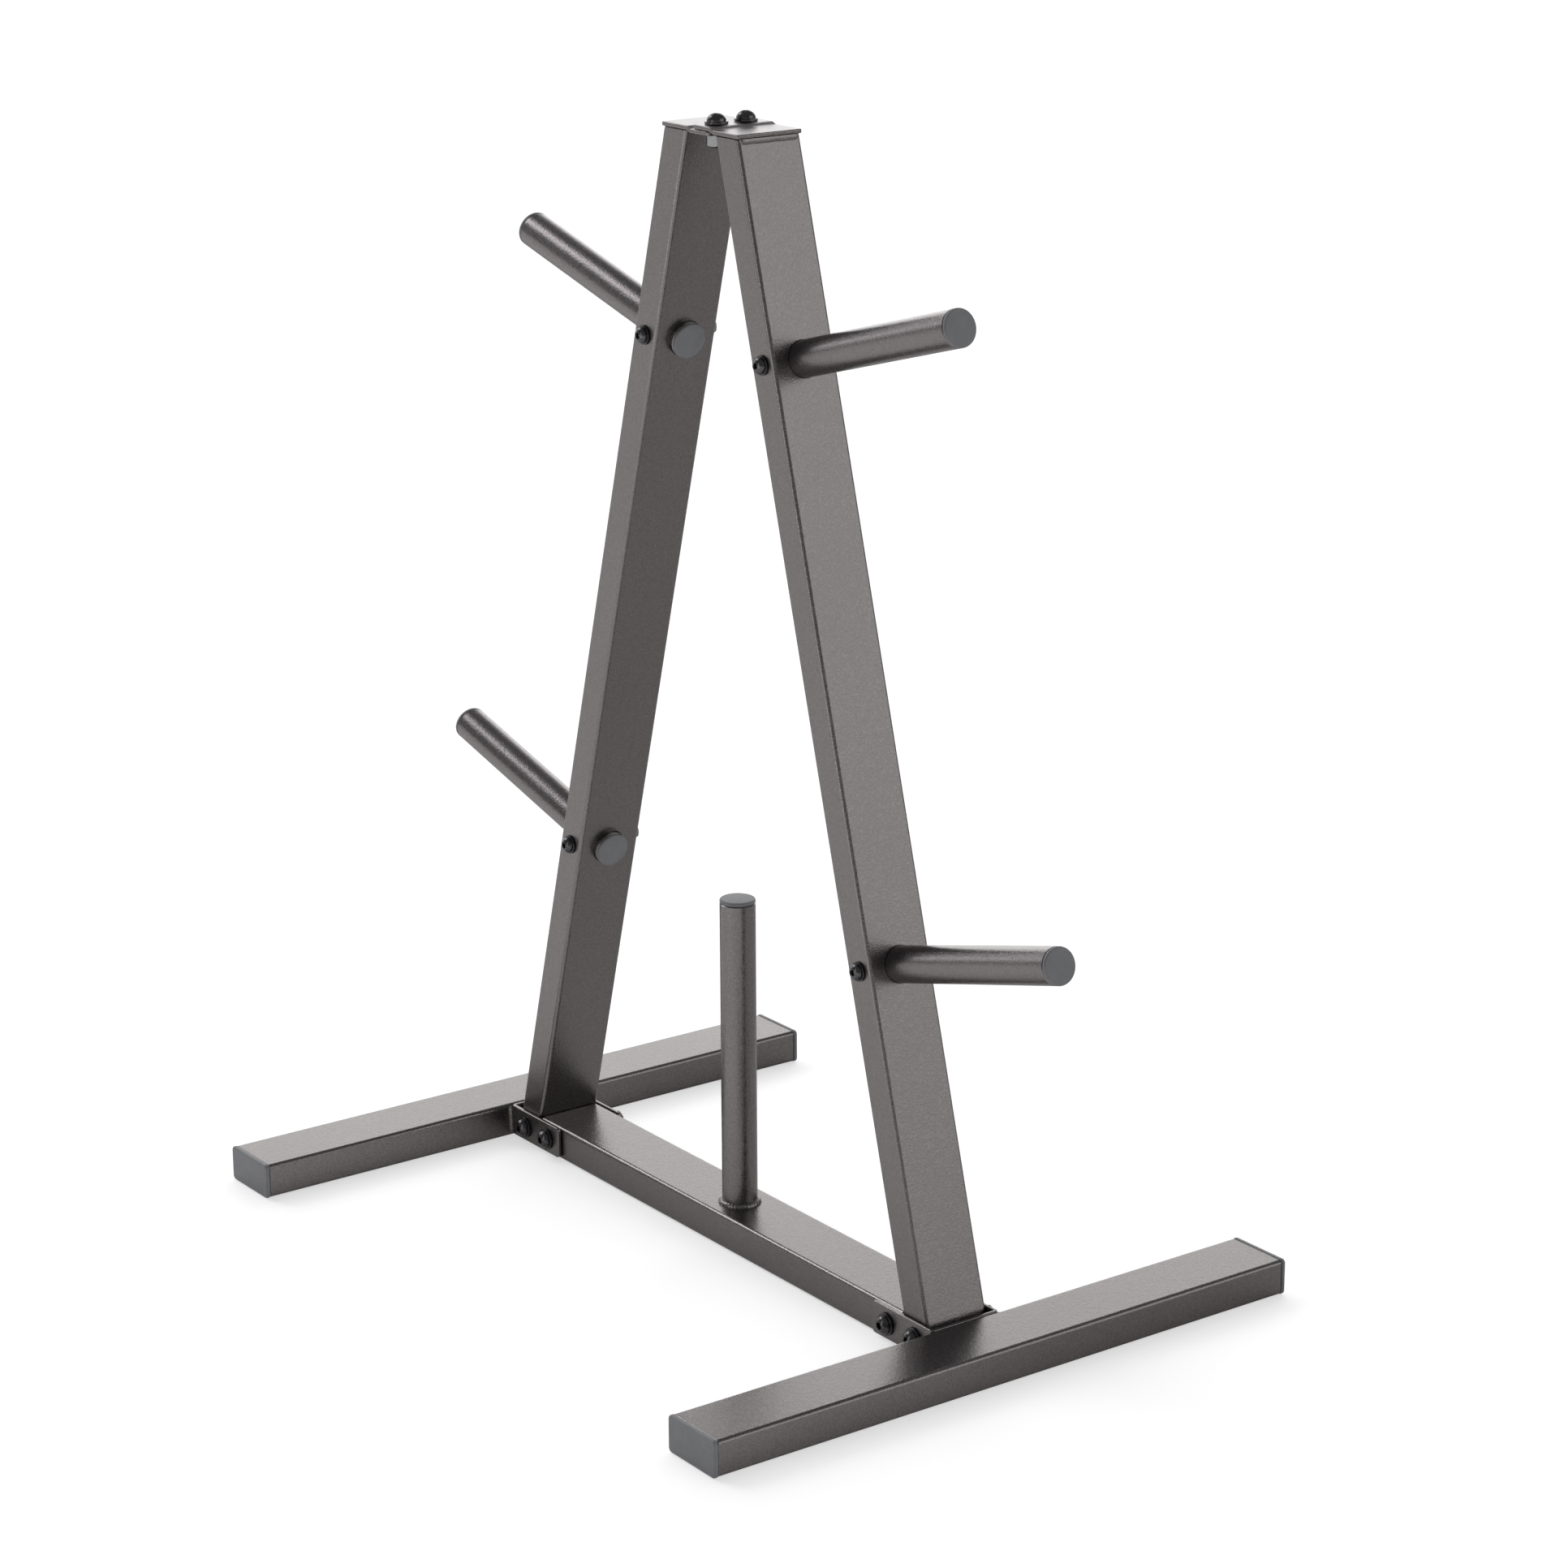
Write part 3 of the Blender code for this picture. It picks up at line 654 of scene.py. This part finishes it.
def threaded(radius, pitch, low, high):
    """Rings of a threaded shank from low to high: a helical ridge, with a chamfer at its lower end."""
    depth = pitch * 0.55
    rows = max(6, int((high - low) / pitch * 8))
    rings = []
    for k in range(rows + 1):
        z = low + (high - low) * k / rows
        room = (z - low) + radius - depth - 0.0002
        ring = []
        for i in range(SMALL_ROUND):
            a = 2 * pi * i / SMALL_ROUND
            phase = (z / pitch - i / SMALL_ROUND) % 1.0
            ridge = 1 - abs(2 * phase - 1)
            r = min(radius - depth * (1 - ridge), room)
            ring.append(Vector((r * cos(a), r * sin(a), z)))
        rings.append(ring)
    return rings


def bolt_body(size, length):
    """A button-head bolt along Z, centred on its length: hex socket, domed head, shank and threaded end."""
    top = length / 2
    seat = top - size["height"]
    bottom = -length / 2
    head, socket = size["head"], size["socket"]
    floor = top - size["height"] * SOCKET_DEPTH
    # The dome is part of an ellipse, from the socket's mouth down to the rim
    first = asin((socket / sqrt(3) + 0.0004) / head)
    crown = (top - seat - BOLT_RIM) / cos(first)
    turns = [first + (pi / 2 - first) * i / DOME_STEPS for i in range(DOME_STEPS + 1)]
    profile = [(head * sin(a), seat + BOLT_RIM + crown * cos(a)) for a in turns]
    thread_top = bottom + size["pitch"] * THREADS
    profile += [(head, seat + 0.0003), (head - 0.0006, seat), (size["shank"], seat),
                (size["shank"], thread_top)]
    bore = ((socket * 0.55, floor - 0.0006), (socket, floor), (socket, top - 0.0003),
            (socket + 0.0006, top - 0.00003))
    rings = [at_height(hexagon(across), z) for across, z in bore]
    rings += [at_height(circle(r, SMALL_ROUND), z) for r, z in profile]
    rings += list(reversed(threaded(size["shank"], size["pitch"], bottom, thread_top - 0.0002)))
    return lofted(rings)


def washer_body(size, length):
    """A stamped washer: one rounded and one sheared edge."""
    inner, outer, half = size["shank"] + CLEARANCE, size["washer"], length / 2
    edge = 0.00035
    profile = [(inner, -half), (outer - edge / 2, -half), (outer, -half + edge / 2), (outer, half - edge),
               (outer - edge * 0.3, half - edge * 0.3), (outer - edge, half), (inner + edge, half),
               (inner, half - edge)]
    return turned(profile, SMALL_ROUND, loop=True)


def nut_body(size, length):
    """A hex nut with both faces chamfered to a round bearing face."""
    half = length / 2
    across = size["across"]
    bore = size["shank"] + CLEARANCE
    count = SMALL_ROUND * 2
    corner = across / sqrt(3)
    face = across / 2 * 0.96
    drop = (corner - face) * tan(radians(30))
    up = []
    for i in range(7):
        limit = face + (corner - face) * i / 6
        up.append(at_height(hexagon(across, count, limit), half - drop * i / 6))
    down = [[Vector((p.x, p.y, -p.z)) for p in ring] for ring in reversed(up)]
    mouth = 0.0005
    inside = [(bore + mouth, -half), (bore, -half + mouth), (bore, half - mouth), (bore + mouth, half)]
    rings = up + down + [at_height(circle(r, count), z) for r, z in inside]
    return lofted(rings, loop=True)


BODIES = {"bolt": (bolt_body, "black_oxide"), "washer": (washer_body, "black_oxide"),
          "nut": (nut_body, "zinc")}


def make_fasteners(prefix, label, size, outward, spin):
    """A bolt, washer and nut in place of their nodes; spin turns each about its axis by its own angle."""
    for k, (kind, (body, slot)) in enumerate(BODIES.items()):
        node = prefix + "_" + kind + "_" + label
        low, high = corners(node)
        length = abs((high - low).dot(Vector(outward)))
        bm = body(size, length)
        bm.transform(facing((low + high) / 2, outward) @ Matrix.Rotation(spin * (k + 1), 4, "Z"))
        finish_piece(to_object(node + "_look", bm), slot, [node], 28)


# ---------------------------------------------------------------- weld beads

def weld(name, path, size, pitch=WELD_PITCH, loop=False, ripple=0.07):
    """A rippled bead: a quarter round from side_a to side_b. path gives (point, side_a, side_b, run)."""
    turns = [pi / 2 * i / WELD_STEPS for i in range(WELD_STEPS + 1)]
    total = path[-1][3]
    rings = []
    for point, side_a, side_b, run in path:
        scallop = 1 - ripple * (1 - abs(sin(pi * run / pitch)) ** 0.7)
        wander = 1 + 0.07 * noise.noise(Vector((run * 160, size * 9000, len(name))))
        ends = min(run, total - run) / size
        taper = 1.0 if loop or ends > 1 else 0.35 + 0.65 * sqrt(max(0.0, 1 - (1 - ends) ** 2))
        reach = size * scallop * wander * taper
        arc = [point + reach * (cos(a) * side_a + sin(a) * side_b) for a in turns]
        rings.append(arc + [point.copy()])
    finish_piece(to_object(name, lofted(rings, loop)), "hammertone_steel", (), 60)


def straight_path(start, end, side_a, side_b):
    start, end = Vector(start), Vector(end)
    length = (end - start).length
    count = max(2, int(length / WELD_SPACING))
    return [(start.lerp(end, i / count), Vector(side_a), Vector(side_b), length * i / count)
            for i in range(count + 1)]


def ring_path(center, radius):
    """A circle in a horizontal plane: side_a points outward, side_b up."""
    steps = []
    for i in range(RING_STEPS):
        a = 2 * pi * i / RING_STEPS
        out = Vector((cos(a), sin(a), 0))
        steps.append((Vector(center) + radius * out, out, Vector((0, 0, 1)), a * radius))
    return steps


def make_welds():
    for side, sign in SIDES.items():
        for toward, label in ((-1, "front"), (1, "rear")):
            make_bracket_weld(side, sign, toward, label)
        make_top_weld(side, sign)
    low, _ = corners("post_center")
    path = ring_path((0, 0, low.z - CLEARANCE), POST_RADIUS - 0.0002)
    weld("weld_post_center", path, size=0.0030, loop=True)


def make_bracket_weld(side, sign, toward, label):
    """A fillet up the groove between the bracket's bend and the foot's inner face."""
    low, high = corners("foot_bracket_" + side)
    x = sign * (max(abs(low.x), abs(high.x)) + 1.5 * CLEARANCE)
    y = toward * (high.y - CLEARANCE)
    path = straight_path((x, y, low.z + 0.0006), (x, y, high.z - 0.0014), (-sign, 0, 0), (0, toward, 0))
    weld("weld_bracket_" + side + "_" + label, path, size=0.0031, ripple=0.04)


def make_top_weld(side, sign):
    """A fillet under the top plate's lip, across the leg's outer face."""
    low, high = corners("leg_" + side)
    outer = sign * max(abs(low.x), abs(high.x))
    _, axis = post_line("upper", side)
    slope = axis.z / abs(axis.x)
    top_x = outer - sign * slope * (high.z - low.z)
    down = Vector((sign * slope, 0, -1)).normalized()
    half = high.y - TUBE_CORNER * 0.6
    start = (top_x - sign * 0.0004, -half, high.z + 0.0002)
    end = (top_x - sign * 0.0004, half, high.z + 0.0002)
    path = straight_path(start, end, (sign * 0.42, 0, 0), down)
    weld("weld_top_" + side, path, size=0.0040, pitch=0.0031, ripple=0.03)


# ---------------------------------------------------------------- assembly

def make_object():
    for side, sign in SIDES.items():
        make_foot(side)
        make_foot_cap(side, "front", -1)
        make_foot_cap(side, "rear", 1)
        make_bracket(side, sign)
        make_leg(side, sign)
        make_top_plate(side, sign)
        for level in ("upper", "lower"):
            make_side_post(level, side)
    make_cross_tube()
    make_center_post()
    spin = 0.0
    for label in ("front", "rear"):
        spin += SPIN
        make_fasteners("top", label, HEAD_M8, (0, 0, 1), spin)
    for side in SIDES:
        for level in ("upper", "lower"):
            spin += SPIN
            make_fasteners("post", level + "_" + side, HEAD_M6, (0, -1, 0), spin)
        for tube in ("cross", "leg"):
            spin += SPIN
            make_fasteners("bracket", tube + "_" + side, HEAD_M8, (0, -1, 0), spin)
    make_welds()


# ---------------------------------------------------------------- stage, lights and camera

def make_floor(name, depth, front, rear):
    """A flat stage sheet a little under the object; its grey runs from the front to the rear value. A front
    value above the rear one paints a pool of light in front and painted shade behind.
    """
    bm = bmesh.new()
    bmesh.ops.create_grid(bm, x_segments=1, y_segments=1, size=30)
    floor = to_object(name, bm)
    floor.location.z = -depth
    material, shader, add, link = new_material(name)
    place = add("ShaderNodeTexCoord").outputs["Object"]
    split = add("ShaderNodeSeparateXYZ")
    link(place, split.inputs[0])
    cloud = remap(add, link, noise_field(add, link, place, 1.5, 2.0, 0.5), 0.3, 0.7, -0.03, 0.03)
    drift = add("ShaderNodeMath", operation="ADD")
    link(split.outputs["Y"], drift.inputs[0])
    link(cloud, drift.inputs[1])
    across = remap(add, link, drift.outputs[0], -0.22, 0.12, 0.0, 1.0)
    link(blend_colors(add, link, across, (front,) * 3, (rear,) * 3), shader.inputs["Base Color"])
    shader.inputs["Roughness"].default_value = 0.9
    shader.inputs["Specular IOR Level"].default_value = 0.0
    floor.data.materials.append(material)
    return floor, shader


def make_stage():
    """A pale floor that the camera sees, and a greyer one that only reflections and bounced light see. The
    greyer one carries painted light: lighter in front, darker behind.
    """
    seen, shader = make_floor("floor_seen", depth=0.0003, front=0.64, rear=0.64)
    shader.inputs["Emission Color"].default_value = (1, 1, 1, 1)
    shader.inputs["Emission Strength"].default_value = 0.585
    seen.visible_glossy = False
    seen.visible_diffuse = False
    seen.visible_shadow = False
    # painted light and shade: this floor is lighter in front of the object and darker behind it
    mirrored, shader = make_floor("floor_mirrored", depth=0.0006, front=0.90, rear=0.42)
    # painted glow: a faint warm emission on a floor that is no lamp, seen in reflections and bounced light
    shader.inputs["Emission Color"].default_value = (1.0, 0.96, 0.94, 1)
    shader.inputs["Emission Strength"].default_value = 0.14
    mirrored.visible_camera = False


def direction(azimuth, elevation):
    """A unit vector: azimuth from +X towards +Y, elevation from the floor."""
    a, e = radians(azimuth), radians(elevation)
    return Vector((cos(a) * cos(e), sin(a) * cos(e), sin(e)))


# Softboxes on the dome: azimuth, elevation, half width, half height and softness in degrees, brightness, tint
SOFTBOXES = (
    (148, 9, 40, 20, 8, 1.85, (1.0, 1.0, 1.0)),      # the white backdrop behind the object
    (36, 12, 24, 19, 9, 1.12, (1.0, 1.0, 1.0)),      # right
    (-159, 11, 6, 8, 5, 2.40, (1.0, 0.99, 1.02)),    # left, beside the camera
    (-160, 40, 12, 9, 6, 5.00, (1.0, 0.99, 1.02)),   # high on the left, for the upper edges
)
DOME_LOW = (0.36, 0.35, 0.345)
DOME_HIGH = (0.20, 0.20, 0.205)
HORIZON = (0.05, -0.12)     # sines of the elevations where the dome's lower light starts and is full
BACKGROUND = (1.0, 1.0, 1.0)

CAMERA_PLACE = (2.24365, -1.58563, 1.16225)
CAMERA_AIM = (0.0, 0.04068, 0.33030)
CAMERA_ROLL = -0.269        # degrees
CAMERA_LENS = 94.78         # mm, on a 36 mm sensor


def make_world():
    """A dim dome, lighter below the horizon, with soft bright panels around it."""
    world = bpy.data.worlds.new("studio")
    bpy.context.scene.world = world
    world.use_nodes = True
    tree = world.node_tree
    link = tree.links.new
    sky = tree.nodes.new("ShaderNodeTexCoord").outputs["Generated"]

    def math(operation, *values):
        node = tree.nodes.new("ShaderNodeMath")
        node.operation = operation
        for socket, value in zip(node.inputs, values):
            if isinstance(value, (int, float)):
                socket.default_value = value
            else:
                link(value, socket)
        return node.outputs[0]

    def along(axis):
        node = tree.nodes.new("ShaderNodeVectorMath")
        node.operation = "DOT_PRODUCT"
        link(sky, node.inputs[0])
        node.inputs[1].default_value = axis
        return node.outputs["Value"]

    def smooth(value, none, full):
        """Rises softly from zero at one value to one at the other."""
        node = tree.nodes.new("ShaderNodeMapRange")
        node.interpolation_type = "SMOOTHSTEP"
        link(value, node.inputs["Value"])
        node.inputs["From Min"].default_value = none
        node.inputs["From Max"].default_value = full
        return node.outputs["Result"]

    def band(value, half, soft):
        """One within half of zero, fading out over soft."""
        return smooth(math("ABSOLUTE", value), half + soft, half - soft)

    def tinted(amount, color):
        node = tree.nodes.new("ShaderNodeVectorMath")
        node.operation = "SCALE"
        node.inputs[0].default_value = color
        link(amount, node.inputs["Scale"])
        return node.outputs[0]

    def total(first, second):
        node = tree.nodes.new("ShaderNodeVectorMath")
        node.operation = "ADD"
        link(first, node.inputs[0])
        link(second, node.inputs[1])
        return node.outputs[0]

    below = smooth(along((0, 0, 1)), *HORIZON)
    light = total(tinted(below, DOME_LOW), tinted(math("SUBTRACT", 1.0, below), DOME_HIGH))
    for azimuth, elevation, wide, high, soft, level, tint in SOFTBOXES:
        middle = direction(azimuth, elevation)
        across = direction(azimuth + 90, 0)
        upward = middle.cross(across) * -1
        ahead = math("GREATER_THAN", along(middle), 0)
        turn = band(math("ARCTAN2", along(across), along(middle)), radians(wide), radians(soft))
        rise = band(math("ARCSINE", along(upward)), radians(high), radians(soft))
        panel = math("MULTIPLY", turn, rise)
        light = total(light, tinted(math("MULTIPLY", math("MULTIPLY", panel, ahead), level), tint))
    lamp = tree.nodes["Background"]
    link(light, lamp.inputs["Color"])
    plain = tree.nodes.new("ShaderNodeBackground")
    plain.inputs["Color"].default_value = (*BACKGROUND, 1)
    choice = tree.nodes.new("ShaderNodeMixShader")
    link(tree.nodes.new("ShaderNodeLightPath").outputs["Is Camera Ray"], choice.inputs[0])
    link(lamp.outputs[0], choice.inputs[1])
    link(plain.outputs[0], choice.inputs[2])
    link(choice.outputs[0], tree.nodes["World Output"].inputs["Surface"])


def make_sun(name, azimuth, elevation, strength, angle):
    """A broad light for matt surfaces: it adds no highlight of its own."""
    data = bpy.data.lights.new(name, "SUN")
    data.energy = strength
    data.angle = radians(angle)
    sun = bpy.data.objects.new(name, data)
    bpy.context.scene.collection.objects.link(sun)
    sun.matrix_world = facing((0, 0, 3), direction(azimuth, elevation))
    sun.visible_glossy = False


def make_strip(name, place, toward, wide, tall, brightness):
    """An upright glowing strip that only shows as a line along rounded edges."""
    data = bpy.data.lights.new(name, "AREA")
    data.shape = "RECTANGLE"
    data.size = wide
    data.size_y = tall
    data.energy = brightness * pi * wide * tall
    strip = bpy.data.objects.new(name, data)
    bpy.context.scene.collection.objects.link(strip)
    back = -Vector(toward)
    turn = Matrix((back.cross((0, 0, 1)) * -1, (0, 0, 1), back)).transposed().to_4x4()
    strip.matrix_world = Matrix.Translation(place) @ turn
    strip.visible_camera = False
    strip.visible_diffuse = False


def make_camera():
    """The camera at the photo's viewing angle: aimed at a point, then rolled a little."""
    place = Vector(CAMERA_PLACE)
    roll = radians(CAMERA_ROLL)
    back = (place - Vector(CAMERA_AIM)).normalized()
    right = Vector((0, 0, 1)).cross(back).normalized()
    up = back.cross(right)
    level_right = right * cos(roll) + up * sin(roll)
    level_up = up * cos(roll) - right * sin(roll)
    data = bpy.data.cameras.new("camera")
    data.sensor_width = 36.0
    data.lens = CAMERA_LENS
    data.clip_end = 100
    camera = bpy.data.objects.new("camera", data)
    bpy.context.scene.collection.objects.link(camera)
    turn = Matrix((level_right, level_up, back)).transposed().to_4x4()
    camera.matrix_world = Matrix.Translation(place) @ turn
    bpy.context.scene.camera = camera


make_object()
make_stage()
make_world()
make_sun("key", azimuth=150, elevation=45, strength=1.4, angle=75)
make_strip("front_strip", (0.08, -1.30, 0.60), toward=(0, 1, 0), wide=0.24, tall=1.15, brightness=1.9)
make_camera()
bpy.context.scene.view_settings.view_transform = "Standard"
